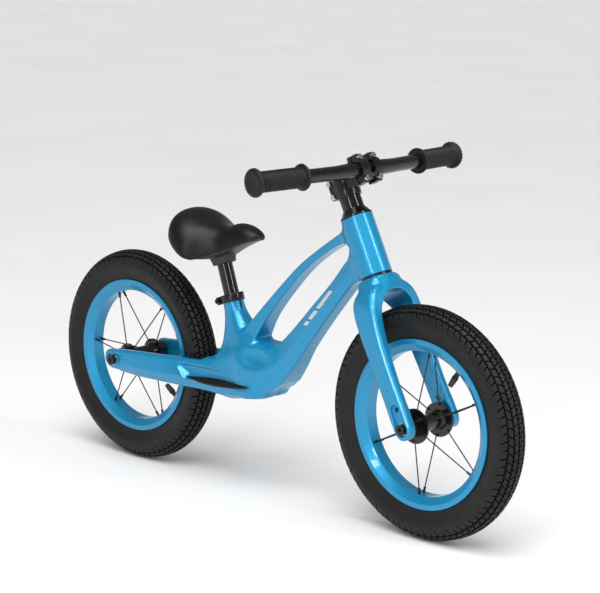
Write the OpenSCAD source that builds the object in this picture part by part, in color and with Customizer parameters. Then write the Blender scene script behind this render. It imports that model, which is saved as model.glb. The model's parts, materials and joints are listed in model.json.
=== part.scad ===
// Child's balance bike: one-piece cast frame and fork, two spoked wheels,
// flat handlebar on a short stem and a height-adjustable saddle.
// X points forward, Y to the rider's left and Z up. The origin lies on the
// ground, midway between the two axles. All sizes are in millimetres.

/* [Overall] */
// Distance between the two axles
wheelbase = 650; // [620:5:800]
// Outer radius of the tyres
wheel_r = 182; // [150:1:186]
// Width of the tyres
tyre_w = 50; // [40:1:54]
// Lean of the steering axis from vertical, in degrees
steer_tilt = 26.5; // [20:0.5:30]
// Lean of the seat tube from vertical, in degrees
seat_tilt = 18.8; // [14:0.2:22]

/* [Head tube and headset] */
// Distance from the front axle to the foot of the head tube
fork_height = 237.5; // [230:0.5:280]
// Length of the head tube
head_len = 96; // [80:1:120]
// Outer diameter of the head tube
head_od = 51; // [47:0.5:58]
// Outer diameter of the steerer tube
steerer_od = 28.6; // [22:0.1:30]
// Outer diameter of the headset bearings
head_bearing_od = 41.8; // [38:0.1:43]
// Height of the headset bearings
head_bearing_h = 7; // [5:0.5:10]
// Height of the dark ring between head tube and fork crown
crown_ring_h = 3.5; // [2.5:0.1:6]
// Height of the tapered cover above the head tube
cover_h = 14; // [8:0.5:20]
// Outer diameter of the headset spacer
spacer_od = 34; // [32:0.5:40]
// Height of the headset spacer
spacer_h = 19; // [10:0.5:40]

/* [Stem and handlebar] */
// Height of the stem's steerer clamp
stem_h = 38; // [30:1:45]
// Distance from the steering axis to the handlebar axis
stem_reach = 47; // [40:1:70]
// Height of the handlebar axis above the middle of the stem
stem_rise = 8.5; // [0:0.5:14]
// Diameter of the handlebar at its clamp
bar_clamp_d = 25.4; // [24:0.1:31.8]
// Diameter of the handlebar at its grips
bar_d = 22.2; // [19:0.1:23]
// Wall of the handlebar tube
bar_wall = 2; // [1.2:0.1:3]
// Length of the handlebar tube
bar_len = 446; // [400:2:560]
// Backward sweep of the handlebar ends, in degrees
bar_sweep = 5; // [0:0.5:10]
// Length of one grip
grip_len = 98; // [80:1:120]
// Diameter of the grips over their ribs
grip_d = 32; // [29:0.5:36]
// Diameter of the flange at the inner end of a grip
grip_flange_d = 41; // [36:0.5:50]
// Number of ribs on a grip
grip_ribs = 12; // [6:1:16]

/* [Frame] */
// Distance the top of the seat tube lies ahead of the rear axle
seat_ahead = 226; // [215:1:300]
// Height of the top of the seat tube above the axles
seat_rise = 137; // [125:1:170]
// Outer diameter of the seat tube at its top
seat_tube_od = 32; // [30:0.5:38]
// Height of the arch in the top tube
top_arch = 28; // [10:1:40]
// Half width of the top tube
top_half_w = 14; // [11:0.5:20]
// Half depth of the top tube at its thinnest
top_half_d = 6.5; // [5:0.5:12]
// Half width of the down tube
down_half_w = 18; // [14:0.5:24]
// Half depth of the down tube near the head
down_half_d = 14; // [11:0.5:20]
// Clearance between the rear tyre and the frame
tyre_gap = 8; // [6:0.5:14]
// Half height of a rear stay
stay_half_h = 21; // [16:0.5:24]
// Thickness of a rear dropout
dropout_t = 16; // [12:0.5:20]
// Length of the foot rest pads
pad_len = 135; // [80:1:140]
// Width of the foot rest pads
pad_w = 15; // [10:0.5:18]

/* [Fork] */
// Front to back width of a fork leg at the crown
leg_top_chord = 42; // [34:1:48]
// Front to back width of a fork leg at the dropout
leg_tip_chord = 35; // [32:1:40]
// Thickness of a fork leg at the dropout
leg_tip_t = 17; // [14:0.5:22]
// Clearance between the front tyre and the fork arch
fork_gap = 9; // [6:0.5:16]
// Diameter of the accessory hole through each fork leg
leg_hole_d = 7; // [5:0.5:9]
// Distance of the accessory hole above the front axle
leg_hole_up = 31; // [29:0.5:40]

/* [Wheels] */
// Radius of the rim's outer edge
rim_r = 131.5; // [105:0.5:134]
// Outer width of the rim
rim_w = 37.6; // [30:0.2:42]
// Depth of the rim from its outer edge to the spoke bed
rim_depth = 19; // [14:0.5:24]
// Wall of the rim
rim_wall = 2.6; // [2:0.1:4]
// Spokes on each side of a wheel
spokes_side = 6; // [4:1:9]
// Diameter of a spoke
spoke_d = 2; // [1.6:0.1:2.6]
// Angle of the front wheel's valve above the forward direction, in degrees
front_valve_at = 56; // [-180:1:180]
// Angle of the rear wheel's valve above the forward direction, in degrees
rear_valve_at = -34; // [-180:1:180]

/* [Hubs and axles] */
// Diameter of the front hub flanges
front_flange_d = 54; // [46:1:60]
// Diameter of the rear hub flanges
rear_flange_d = 44; // [40:1:60]
// Distance of the hub flanges from the wheel's centre plane
flange_y = 28; // [24:0.5:30]
// Diameter of the axles
axle_d = 12; // [10:0.5:14]
// Outer diameter of the wheel bearings
bearing_od = 28; // [24:0.5:30]
// Width of the wheel bearings
bearing_w = 8; // [6:0.5:9]
// Half the distance between the fork ends
front_half_old = 43; // [40:0.5:50]
// Half the distance between the rear dropouts
rear_half_old = 52; // [44:0.5:58]
// Diameter of the threaded shank of the axle bolts
axle_bolt_d = 8; // [6:0.5:8]
// Diameter of the heads of the axle bolts
axle_head_d = 17; // [13:0.5:17]

/* [Seat] */
// Diameter of the seat post
post_d = 25.4; // [22:0.1:27.2]
// Length of the seat post
post_len = 155; // [130:1:170]
// Length of bare seat post above its clamp
post_show = 52; // [40:1:70]
// Height of the seat clamp collar
clamp_h = 13; // [10:0.5:16]
// Length of the saddle
saddle_len = 176; // [160:1:220]
// Width of the saddle at its widest
saddle_w = 136; // [110:1:160]
// Height of the saddle above the foot of its socket
saddle_h = 84; // [74:1:95]

/* [Hidden] */

running = 0.05;      // radial clearance of a turning fit
slip = 0.1;          // radial clearance of parts that slide together
snug = 0.02;         // radial clearance of parts that are pressed together
air = 0.4;           // gap between faces that pass each other
deep = 0.01;         // overrun of a cut past the face it opens
round_fn = 96;       // segments of large round parts
small_fn = 32;       // segments of small round parts
pad_fn = 720;        // segments of the pads' long shallow arcs
section_points = 16; // points round a swept section

front_x = wheelbase / 2;
rear_x = -wheelbase / 2;
seat_x = rear_x + seat_ahead;
seat_z = wheel_r + seat_rise;
tyre_half = tyre_w / 2;
bed_r = rim_r - rim_depth;
head_gap = crown_ring_h;
stem_foot = fork_height + head_len + cover_h + spacer_h;
stem_mid = stem_foot + stem_h / 2;
steerer_top = stem_foot + stem_h - 3;
nipple_y = 5;
nipple_d = 4;
flange_half = 1.5;
valve_turn = 180 / spokes_side;
bolt_d = 5;
washer_t = 1.5;
axle_head_h = 6;
sleeve_seat = 0.2;
sleeve_seat_d = axle_d + 12;
screw_head_d = 8.5;
recess_depth = 5;
stay_tip_half = 17.5;

// Points in the XZ plane, measured along and across the two leaning axes
function steer_at(up, ahead) = [
    front_x - up * sin(steer_tilt) + ahead * cos(steer_tilt),
    wheel_r + up * cos(steer_tilt) + ahead * sin(steer_tilt)
];
function seat_at(up, ahead) = [
    seat_x - up * sin(seat_tilt) + ahead * cos(seat_tilt),
    seat_z + up * cos(seat_tilt) + ahead * sin(seat_tilt)
];
function mix(a, b, t) = a + (b - a) * t;

// Station of a swept shape: centre, half width along Y, then depth above and below
function station(xz, y, half_w, half_d, below = undef) =
    [xz[0], y, xz[1], half_w, half_d, is_undef(below) ? half_d : below];

// Smooth curve through a list of stations, u running from 0 to len - 1
function along(list, u) = let (
    last = len(list) - 1,
    i = min(floor(u), last - 1),
    f = u - i,
    a = list[max(i - 1, 0)],
    b = list[i],
    c = list[i + 1],
    d = list[min(i + 2, last)]
) 0.5 * (2 * b + (c - a) * f + (2 * a - 5 * b + 4 * c - d) * f * f + (3 * b - a - 3 * c + d) * f * f * f);

function squared(v, power) = sign(v) * pow(abs(v), 2 / power);

// One closed section: a rounded rectangle, upright or square to the path in the XZ plane
function section(here, back, ahead, power, upright) = let (
    run = upright ? [1, 0] : [ahead[0] - back[0], ahead[2] - back[2]],
    dir = run / norm(run)
) [for (k = [0:section_points - 1]) let (
    turn = 360 * k / section_points,
    w = here[3] * squared(cos(turn), power),
    d = (sin(turn) < 0 ? here[5] : here[4]) * squared(sin(turn), power)
) [here[0] - dir[1] * d, here[1] + w, here[2] + dir[0] * d]];

// Solid swept through the stations with a given number of steps per station
module swept(list, steps, power, upright = false) {
    last = len(list) - 1;
    count = last * steps;
    eps = 0.02;
    rings = [for (k = [0:count]) let (u = k / steps)
        section(along(list, u), along(list, max(u - eps, 0)), along(list, min(u + eps, last)), power, upright)];
    n = section_points;
    polyhedron(
        points = [for (r = rings) each r],
        faces = concat(
            [[for (k = [0:n - 1]) k]],
            [for (r = [0:count - 1], k = [0:n - 1])
                [r * n + k, (r + 1) * n + k, (r + 1) * n + (k + 1) % n, r * n + (k + 1) % n]],
            [[for (k = [n - 1:-1:0]) count * n + k]]
        ),
        convexity = 4
    );
}

module on_steer(up) {
    translate([front_x - up * sin(steer_tilt), 0, wheel_r + up * cos(steer_tilt)])
        rotate([0, -steer_tilt, 0]) children();
}
module on_seat(up) {
    translate([seat_x - up * sin(seat_tilt), 0, seat_z + up * cos(seat_tilt)])
        rotate([0, -seat_tilt, 0]) children();
}
module at_front_axle() { translate([front_x, 0, wheel_r]) children(); }
module at_rear_axle() { translate([rear_x, 0, wheel_r]) children(); }
module both_sides() {
    children();
    mirror([0, 1, 0]) children();
}
// Cylinder along Y from one width to another
module across(d, from, to, fn = round_fn) {
    translate([0, from, 0]) rotate([-90, 0, 0]) cylinder(d = d, h = to - from, $fn = fn);
}
// Ring along Y
module ring_across(d, bore, from, to, fn = round_fn) {
    difference() {
        across(d, from, to, fn);
        across(bore, from - deep, to + deep, fn);
    }
}
// Turned shape about the Y axis, from an outline of [radius, width]
module turned(fn = round_fn) {
    rotate([90, 0, 0]) rotate_extrude($fn = fn) children();
}

// ---- Frame ----
top_start = steer_at(fork_height + 68, 0);
top_foot = steer_at(fork_height + 69, -58);
top_end = seat_at(-85, 30);
belly = [rear_x + 325, wheel_r + 22];
down_start = steer_at(fork_height + 28, 0);
down_top = steer_at(fork_height + 16, -52);

module top_tube() {
    swept([
        station(top_start, 0, 20, 16),
        station(top_foot, 0, 15, 8.5),
        for (t = [0.33, 0.62, 0.84])
            station(mix(top_foot, top_end, t) + [0, 4 * top_arch * t * (1 - t)], 0,
                top_half_w + 4 * t * t, top_half_d + 9 * t * t * t),
        station(top_end, 0, 21, 20),
        station(seat_at(-118, 34), 0, 24, 22)
    ], 3, 2.6);
}
module down_tube() {
    swept([
        station(down_start, 0, 21, 17),
        station(down_top, 0, down_half_w, down_half_d),
        station(mix(down_top, belly, 0.45), 0, down_half_w + 1, down_half_d + 4),
        station(mix(down_top, belly, 0.8), 0, down_half_w + 4, down_half_d + 8),
        station(belly + [4, 2], 0, down_half_w + 8, down_half_d + 14),
        station(belly + [-50, -10], 0, down_half_w + 20, 22),
        station(belly + [-120, -16], 0, down_half_w + 22, 20)
    ], 3, 3.2);
}
module seat_riser() {
    swept([
        station(seat_at(-clamp_h - 1, 0), 0, seat_tube_od / 2 - 1.5, seat_tube_od / 2 - 1.5),
        station(seat_at(-28, 0), 0, seat_tube_od / 2 + 2, seat_tube_od / 2 + 3.5),
        station(seat_at(-54, 1), 0, 23, 29),
        station(seat_at(-80, 2), 0, 32, 50),
        station(seat_at(-108, 6), 0, 44, 74),
        station(seat_at(-132, 12), 0, 46, 72)
    ], 3, 2.3);
}
// Web that closes the corner between the top tube and the down tube at the head
module head_web() {
    swept([
        station(steer_at(fork_height + 84, -18), 0, 14, 12),
        station(steer_at(fork_height + 54, -20), 0, 15, 19),
        station(steer_at(fork_height + 22, -24), 0, 17, 28)
    ], 3, 2.8);
}
module rear_stay() {
    tip_y = rear_half_old + dropout_t / 2;
    swept([
        station([rear_x - 22, wheel_r - 1], tip_y, dropout_t / 2 - 1, stay_tip_half - 6),
        station([rear_x - 8, wheel_r], tip_y, dropout_t / 2, stay_tip_half - 1),
        station([rear_x + 55, wheel_r + 1], tip_y - 3, 9, stay_half_h - 1),
        station([rear_x + 125, wheel_r + 1.5], tip_y - 9.5, 10.5, stay_half_h + 1),
        station([rear_x + 195, wheel_r + 4], tip_y - 17, 12.5, stay_half_h + 2),
        station([rear_x + 262, wheel_r + 4], tip_y - 27, 17, stay_half_h),
        station([rear_x + 318, wheel_r + 3], tip_y - 43, 17, stay_half_h - 4)
    ], 3, 3.4);
}
module frame() {
    color("deepskyblue") difference() {
        union() {
            resize([0, 0, 0]) union() {
                top_tube();
                down_tube();
                seat_riser();
                head_web();
                both_sides() rear_stay();
            }
            on_steer(fork_height) cylinder(d = head_od, h = head_len, $fn = round_fn);
            on_seat(-30) cylinder(d = seat_tube_od, h = 30 - clamp_lip, $fn = round_fn);
        }
        // Steerer passage and the two bearing seats
        on_steer(fork_height) {
            translate([0, 0, -deep]) cylinder(d = head_bore, h = head_len + 1, $fn = round_fn);
            translate([0, 0, -deep])
                cylinder(d = head_bearing_od + 2 * slip, h = head_seat + deep, $fn = round_fn);
            translate([0, 0, head_len - head_seat])
                cylinder(d = head_bearing_od + 2 * slip, h = head_seat + 1, $fn = round_fn);
        }
        // Seat post bore and the clamping slit
        on_seat(-post_bore) cylinder(d = post_d + 2 * slip, h = post_bore + 5, $fn = round_fn);
        on_seat(-26) translate([0, -slit_w / 2, 0]) cube([seat_tube_od, slit_w, 40]);
        // Room for the rear tyre
        at_rear_axle() across(2 * (wheel_r + tyre_gap), -stay_clear, stay_clear);
        // Dropouts: a through hole with a round recess outside and a flat for the sleeve inside
        at_rear_axle() {
            across(axle_bolt_d + 0.6, -100, 100, small_fn);
            across(sleeve_seat_d, -rear_half_old - sleeve_seat, rear_half_old + sleeve_seat);
            both_sides() hull() for (x = [0, 22])
                translate([x, 0, 0]) across(dropout_recess_d, rear_half_old + dropout_t - recess_depth, 100, small_fn);
        }
        // Long flats on the stays, with seats for the foot rest pads let into them
        both_sides() pad_place() {
            translate([-pad_len / 2 - 12, -pad_w, 0]) cube([pad_len + 30, 2 * pad_w, 30]);
            translate([0, 0, -pad_t]) linear_extrude(12) pad_outline(0.3);
        }
    }
}
clamp_lip = 1;
slit_w = 3;
head_bore = 36;
head_seat = head_bearing_h + 0.5;
post_bore = 118;
stay_clear = tyre_half + tyre_gap;
dropout_recess_d = 22;

// Foot rest pads lie on the tops of the stays, just ahead of the rear tyre
pad_t = 2.5;
module pad_place() {
    translate([rear_x + 237, rear_half_old - 5, wheel_r - 1.5]) rotate([-32, -1, -4.5]) children();
}
module pad_outline(grow) {
    half = pad_len / 2 + grow;
    wide = pad_w / 2 + grow;
    bow = (half * half - wide * wide) / (2 * wide) + wide;
    intersection() {
        translate([0, bow - wide]) circle(r = bow, $fn = pad_fn);
        translate([0, wide - bow]) circle(r = bow, $fn = pad_fn);
    }
}
module foot_pad() {
    pad_place() translate([0, 0, -pad_t]) difference() {
        linear_extrude(pad_t + 1) pad_outline(0);
        for (k = [-5:5])
            translate([k * 10 - 1, -15, pad_t + 0.2]) cube([2, 30, 2]);
    }
}
module left_foot_pad() { color("black") foot_pad(); }
module right_foot_pad() { color("black") mirror([0, 1, 0]) foot_pad(); }

// ---- Headset ----
race_lip = 15.05;
module head_bearing() {
    difference() {
        cylinder(d = head_bearing_od, h = head_bearing_h, $fn = round_fn);
        translate([0, 0, -1]) cylinder(r = race_lip + running, h = head_bearing_h + 2, $fn = round_fn);
    }
}
module upper_head_bearing() {
    color("silver") on_steer(fork_height + head_len - head_bearing_h) head_bearing();
}
module lower_head_bearing() { color("silver") on_steer(fork_height) head_bearing(); }
module crown_race() {
    color("black") on_steer(fork_height - head_gap) difference() {
        union() {
            cylinder(d = head_od - 1, h = head_gap - air, $fn = round_fn);
            cylinder(r = race_lip, h = head_gap + head_bearing_h - 1, $fn = round_fn);
        }
        translate([0, 0, -1]) cylinder(d = steerer_od + 2 * slip, h = 20, $fn = round_fn);
    }
}
module compression_ring() {
    color("dimgray") on_steer(fork_height + head_len - head_bearing_h + 1) difference() {
        cylinder(r = race_lip, h = head_bearing_h - 1, $fn = round_fn);
        translate([0, 0, -1]) cylinder(d = steerer_od + 2 * slip, h = 20, $fn = round_fn);
    }
}
module head_cover() {
    color("black") on_steer(fork_height + head_len + air) difference() {
        union() {
            cylinder(d = head_od - 0.5, h = 2, $fn = round_fn);
            translate([0, 0, 2]) cylinder(d1 = head_od - 2, d2 = spacer_od + 1, h = cover_h - air - 3, $fn = round_fn);
            translate([0, 0, cover_h - air - 1]) cylinder(d = spacer_od + 1, h = 1, $fn = round_fn);
        }
        translate([0, 0, -1]) cylinder(d = steerer_od + 2 * slip, h = cover_h + 5, $fn = round_fn);
    }
}
module headset_spacer() {
    color("black") on_steer(fork_height + head_len + cover_h) difference() {
        cylinder(d = spacer_od, h = spacer_h, $fn = round_fn);
        translate([0, 0, -1]) cylinder(d = steerer_od + 2 * slip, h = spacer_h + 2, $fn = round_fn);
    }
}
steerer_wall = 2.3;
steerer_foot = fork_height - head_gap - 26;
module steerer_tube() {
    color("silver") on_steer(steerer_foot) difference() {
        cylinder(d = steerer_od, h = steerer_top - steerer_foot, $fn = round_fn);
        translate([0, 0, -1])
            cylinder(d = steerer_od - 2 * steerer_wall, h = 400, $fn = round_fn);
    }
}
module star_nut() {
    color("silver") on_steer(steerer_top - 22) difference() {
        union() {
            for (up = [0, 7]) translate([0, 0, up])
                cylinder(d = steerer_od - 2 * steerer_wall - 2 * snug, h = 1.5, $fn = small_fn);
            cylinder(d = 11, h = 12, $fn = small_fn);
        }
        translate([0, 0, -1]) cylinder(d = 6 + 2 * slip, h = 20, $fn = small_fn);
    }
}
module top_cap() {
    color("black") on_steer(stem_foot + stem_h) difference() {
        union() {
            cylinder(d = spacer_od, h = 3, $fn = round_fn);
            translate([0, 0, 3]) cylinder(d1 = spacer_od, d2 = spacer_od - 6, h = 2.5, $fn = round_fn);
        }
        translate([0, 0, -1]) cylinder(d = 6 + 2 * slip, h = 20, $fn = small_fn);
        translate([0, 0, 2]) cylinder(d = 10.6, h = 20, $fn = small_fn);
    }
}
// Socket screw along +Z: the head's underside lies at z = 0
module socket_screw(d, len, head_d, head_h, key) {
    difference() {
        union() {
            translate([0, 0, -len]) cylinder(d = d, h = len + deep, $fn = small_fn);
            cylinder(d = head_d, h = head_h, $fn = small_fn);
        }
        translate([0, 0, head_h * 0.4]) cylinder(d = key, h = head_h, $fn = 6);
    }
}
module top_cap_bolt() {
    color("silver") on_steer(stem_foot + stem_h + 2) socket_screw(6, 22, 10, 3.4, 5);
}

// ---- Stem and handlebar ----
clamp_wall = 6;
stem_w = 44;
bolt_rise = 17;
bolt_side = 15;
face_split = 1;
// Frame of the handlebar clamp: local X points ahead, along the stem
module at_bar() { on_steer(stem_mid + stem_rise) translate([stem_reach, 0, 0]) children(); }
module stem() {
    clamp_r = bar_clamp_d / 2 + clamp_wall;
    color("black") difference() {
        union() {
            on_steer(stem_foot) cylinder(d = steerer_od + 11, h = stem_h, $fn = round_fn);
            // Neck from the steerer clamp to the handlebar clamp
            on_steer(stem_mid + stem_rise / 2) translate([0, -13, -14]) cube([stem_reach - 8, 26, 28]);
            at_bar() intersection() {
                across(2 * clamp_r, -stem_w / 2, stem_w / 2);
                translate([-50, -50, -50]) cube([50 - face_split, 100, 100]);
            }
            at_bar() for (side = [-1, 1], up = [-1, 1])
                translate([-9, side * bolt_side - 6, up * bolt_rise - 6]) cube([9 - face_split, 12, 12]);
            // Split ears behind the steerer clamp
            on_steer(stem_foot) translate([-28, -9, 3]) cube([16, 18, stem_h - 6]);
        }
        on_steer(stem_foot - 1) cylinder(d = steerer_od + 2 * slip, h = stem_h + 2, $fn = round_fn);
        on_steer(stem_foot - 1) translate([-30, -1, 0]) cube([30, 2, stem_h + 2]);
        at_bar() across(bar_clamp_d + 2 * slip, -50, 50);
        at_bar() for (side = [-1, 1], up = [-1, 1])
            translate([-12, side * bolt_side, up * bolt_rise]) rotate([0, 90, 0])
                cylinder(d = bolt_d + 2 * slip, h = 20, $fn = small_fn);
        for (up = pinch_ups) pinch_place(up) translate([0, 0, -30])
            cylinder(d = bolt_d + 2 * slip, h = 60, $fn = small_fn);
    }
}
pinch_ups = [8, stem_h - 9];
module pinch_place(up) {
    on_steer(stem_foot + up) translate([-22.6, -9, 0]) rotate([90, 0, 0]) children();
}
module pinch_bolts() {
    color("silver") for (up = pinch_ups) pinch_place(up) socket_screw(bolt_d, 18, screw_head_d, 5, 4);
}
module stem_faceplate() {
    clamp_r = bar_clamp_d / 2 + clamp_wall;
    color("black") difference() {
        union() {
            at_bar() intersection() {
                across(2 * clamp_r, -stem_w / 2, stem_w / 2);
                translate([face_split, -50, -50]) cube([50, 100, 100]);
            }
            at_bar() for (side = [-1, 1], up = [-1, 1])
                translate([face_split, side * bolt_side - 6, up * bolt_rise - 6]) cube([9, 12, 12]);
        }
        at_bar() across(bar_clamp_d + 2 * slip, -50, 50);
        at_bar() for (side = [-1, 1], up = [-1, 1])
            translate([-2, side * bolt_side, up * bolt_rise]) rotate([0, 90, 0])
                cylinder(d = bolt_d + 2 * slip, h = 30, $fn = small_fn);
        // Room for the screw heads
        at_bar() for (side = [-1, 1], up = [-1, 1])
            translate([face_split + 9, side * bolt_side, up * bolt_rise]) rotate([0, 90, 0])
                cylinder(d = screw_head_d + 2 * air, h = 20, $fn = small_fn);
        // Window through the middle of the plate
        at_bar() translate([0, 0, -5]) rotate([0, 90, 0]) hull() {
            translate([-10, 0, 0]) cylinder(d = 12, h = 40, $fn = small_fn);
            cylinder(d = 12, h = 40, $fn = small_fn);
        }
    }
}
module faceplate_bolts() {
    color("silver") at_bar() for (side = [-1, 1], up = [-1, 1])
        translate([face_split + 9, side * bolt_side, up * bolt_rise]) rotate([0, 90, 0])
            socket_screw(bolt_d, 19, screw_head_d, 5, 4);
}
// The bar is straight through the stem and bends back at each side
bend_y = 62;
module bar_end() {
    at_bar() translate([0, bend_y, 0]) rotate([0, steer_tilt, 0]) rotate([0, 0, bar_sweep]) children();
}
module handlebar() {
    grow_from = 26;
    end = bar_len / 2 - bend_y;
    color("black") difference() {
        union() {
            at_bar() {
                across(bar_clamp_d, -grow_from, grow_from);
                both_sides() translate([0, grow_from, 0]) rotate([-90, 0, 0])
                    cylinder(d1 = bar_clamp_d, d2 = bar_d, h = bend_y - grow_from, $fn = round_fn);
            }
            both_sides() bar_end() {
                across(bar_d, 0, end);
                sphere(d = bar_d + 0.4, $fn = round_fn);
            }
        }
        at_bar() across(bar_d - 2 * bar_wall, -bend_y, bend_y);
        both_sides() bar_end() {
            across(bar_d - 2 * bar_wall, 0, end + 1);
            sphere(d = bar_d - 2 * bar_wall + 0.4, $fn = round_fn);
        }
    }
}
module grip() {
    end = bar_len / 2 - bend_y;
    start = end + 4 - grip_len;
    rib_zone = grip_len - 16;
    pitch = rib_zone / grip_ribs;
    bar_end() difference() {
        union() {
            across(grip_d - 3, start, start + grip_len - 3);
            across(grip_flange_d, start, start + 4);
            for (k = [0:grip_ribs - 1])
                across(grip_d, start + 6 + k * pitch, start + 6 + k * pitch + pitch * 0.55);
            across(grip_flange_d + 3, start + grip_len - 7, start + grip_len - 2);
            across(grip_flange_d - 3, start + grip_len - 2, start + grip_len);
        }
        across(bar_d + 2 * slip, start - 1, end + 0.2);
    }
}
module left_grip() { color("black") grip(); }
module right_grip() { color("black") mirror([0, 1, 0]) grip(); }

// ---- Fork ----
leg_tip_y = front_half_old + leg_tip_t / 2;
arch_half = tyre_half + fork_gap;
module fork_leg() {
    swept([
        station(steer_at(-15, 0), leg_tip_y, leg_tip_t / 2 - 2, leg_tip_chord / 2 - 5),
        station(steer_at(0, 0), leg_tip_y, leg_tip_t / 2, leg_tip_chord / 2),
        station(steer_at(60, -2), leg_tip_y - 1, 8.5, leg_tip_chord / 2 - 1),
        station(steer_at(120, -3), leg_tip_y - 2, 9.5, leg_top_chord / 2 - 2),
        station(steer_at(175, -2), arch_half + 11, 11, leg_top_chord / 2),
        station(steer_at(203, 0), arch_half + 2, 14, leg_top_chord / 2 + 2),
        station(steer_at(218, 0), 18, 18, leg_top_chord / 2 + 2)
    ], 3, 3);
}
module fork() {
    color("deepskyblue") difference() {
        union() {
            resize([0, 0, 0]) union() {
                both_sides() fork_leg();
                swept([
                    station(steer_at(200, 0), 0, 36, 22),
                    station(steer_at(214, 0), 0, 34, 23),
                    station(steer_at(fork_height - head_gap - 2, 0), 0, head_od / 2 - 2.5, head_od / 2 - 2.5)
                ], 3, 2.4);
            }
            on_steer(fork_height - head_gap - 12) cylinder(d = head_od, h = 12, $fn = round_fn);
        }
        // Socket for the steerer tube
        on_steer(steerer_foot) cylinder(d = steerer_od + 2 * snug, h = 60, $fn = round_fn);
        // Arch over the front tyre
        at_front_axle() across(2 * (wheel_r + fork_gap), -arch_half, arch_half);
        // Fork ends: a through hole with a long recess outside and a flat for the sleeve inside
        at_front_axle() {
            across(axle_bolt_d + 0.6, -100, 100, small_fn);
            across(sleeve_seat_d, -front_half_old - sleeve_seat, front_half_old + sleeve_seat);
        }
        both_sides() on_steer(0) hull() {
            translate([0, front_half_old + leg_tip_t - recess_depth, 0])
                rotate([-90, 0, 0]) cylinder(d = 20, h = 50, $fn = small_fn);
            translate([0, front_half_old + leg_tip_t - recess_depth, leg_hole_up + 1])
                rotate([-90, 0, 0]) cylinder(d = 16, h = 50, $fn = small_fn);
        }
        on_steer(leg_hole_up) across(leg_hole_d, -100, 100, small_fn);
    }
}

// ---- Wheels, drawn about the axle ----
tube_floor = bed_r + rim_wall + 4;
bead_r = rim_r - 6;
tyre_wall = 3.2;
tyre_mid_r = wheel_r - tyre_half;
flare_r = tyre_mid_r - 9;
// Section of the tyre or of its hollow, a given distance inside the outer skin
module tyre_section(skin, foot_r) {
    bead = rim_w / 2 - rim_wall - slip - skin;
    flare = tyre_half * 0.93 - skin;
    translate([tyre_mid_r, 0]) circle(r = tyre_half - skin, $fn = round_fn);
    polygon([
        [foot_r, -bead], [rim_r + slip, -bead], [flare_r, -flare], [tyre_mid_r, -flare],
        [tyre_mid_r, flare], [flare_r, flare], [rim_r + slip, bead], [foot_r, bead]
    ]);
}
module tyre() {
    color("black") turned() difference() {
        tyre_section(0, bead_r);
        tyre_section(tyre_wall, bead_r - 1);
    }
}
tube_r = tyre_half - tyre_wall - 0.5;
module inner_tube() {
    color("dimgray") {
        turned() difference() {
            translate([tyre_mid_r, 0]) circle(r = tube_r, $fn = round_fn);
            translate([tyre_mid_r, 0]) circle(r = tube_r - 1.5, $fn = round_fn);
        }
        // Rubber valve stem through the rim
        rotate([0, 90, 0]) difference() {
            translate([0, 0, valve_tip]) cylinder(d = 8, h = tyre_mid_r - tube_r + 1 - valve_tip, $fn = small_fn);
            translate([0, 0, valve_tip - 1]) cylinder(d = 3, h = 30, $fn = small_fn);
        }
    }
}
valve_tip = bed_r - 24;
module valve_cap() {
    color("black") rotate([0, 90, 0]) difference() {
        translate([0, 0, valve_tip - 9]) cylinder(d1 = 8, d2 = 10.5, h = 17, $fn = small_fn);
        translate([0, 0, valve_tip - 0.2]) cylinder(d = 8.2, h = 20, $fn = small_fn);
    }
}
module rim(flange_d) {
    half = rim_w / 2;
    color("deepskyblue") difference() {
        turned() difference() {
            polygon([
                [rim_r, -half], [rim_r, half], [rim_r - 8, half], [bed_r + 3, half - 6],
                [bed_r, half - 8], [bed_r, 8 - half], [bed_r + 3, 6 - half], [rim_r - 8, -half]
            ]);
            polygon([
                [rim_r + 1, rim_wall - half], [rim_r + 1, half - rim_wall],
                [rim_r - 7, half - rim_wall], [bed_r + 3 + rim_wall, half - 6 - rim_wall],
                [bed_r + rim_wall, half - 8 - rim_wall], [bed_r + rim_wall, 8 + rim_wall - half],
                [bed_r + 3 + rim_wall, 6 + rim_wall - half], [rim_r - 7, rim_wall - half]
            ]);
        }
        rotate([0, 90, 0]) cylinder(d = 8.6, h = 200, $fn = small_fn);
        both_sides() rim_places(flange_d) translate([0, 0, -10])
            cylinder(d = nipple_d + 4 * slip, h = 30, $fn = small_fn);
    }
}
// Each spoke leans from its flange to its place in the rim bed
spoke_y = flange_y - flange_half - spoke_d / 2 - 2 * slip;
elbow_d = spoke_d + 0.3;
function circle_r(flange_d) = flange_d / 2 - 3.6;
function spoke_run(flange_d) = bed_r - circle_r(flange_d);
function spoke_len(flange_d) = norm([spoke_run(flange_d), spoke_y - nipple_y]);
function spoke_lean(flange_d) = atan2(spoke_y - nipple_y, spoke_run(flange_d));
// Children face outwards along each spoke's angle
module spoke_turns() {
    for (k = [0:spokes_side - 1])
        rotate([0, 90 - valve_turn - k * 360 / spokes_side, 0]) children();
}
// Children stand on the hole circle of the hub flanges
module flange_places(flange_d) {
    spoke_turns() translate([0, 0, circle_r(flange_d)]) children();
}
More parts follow.
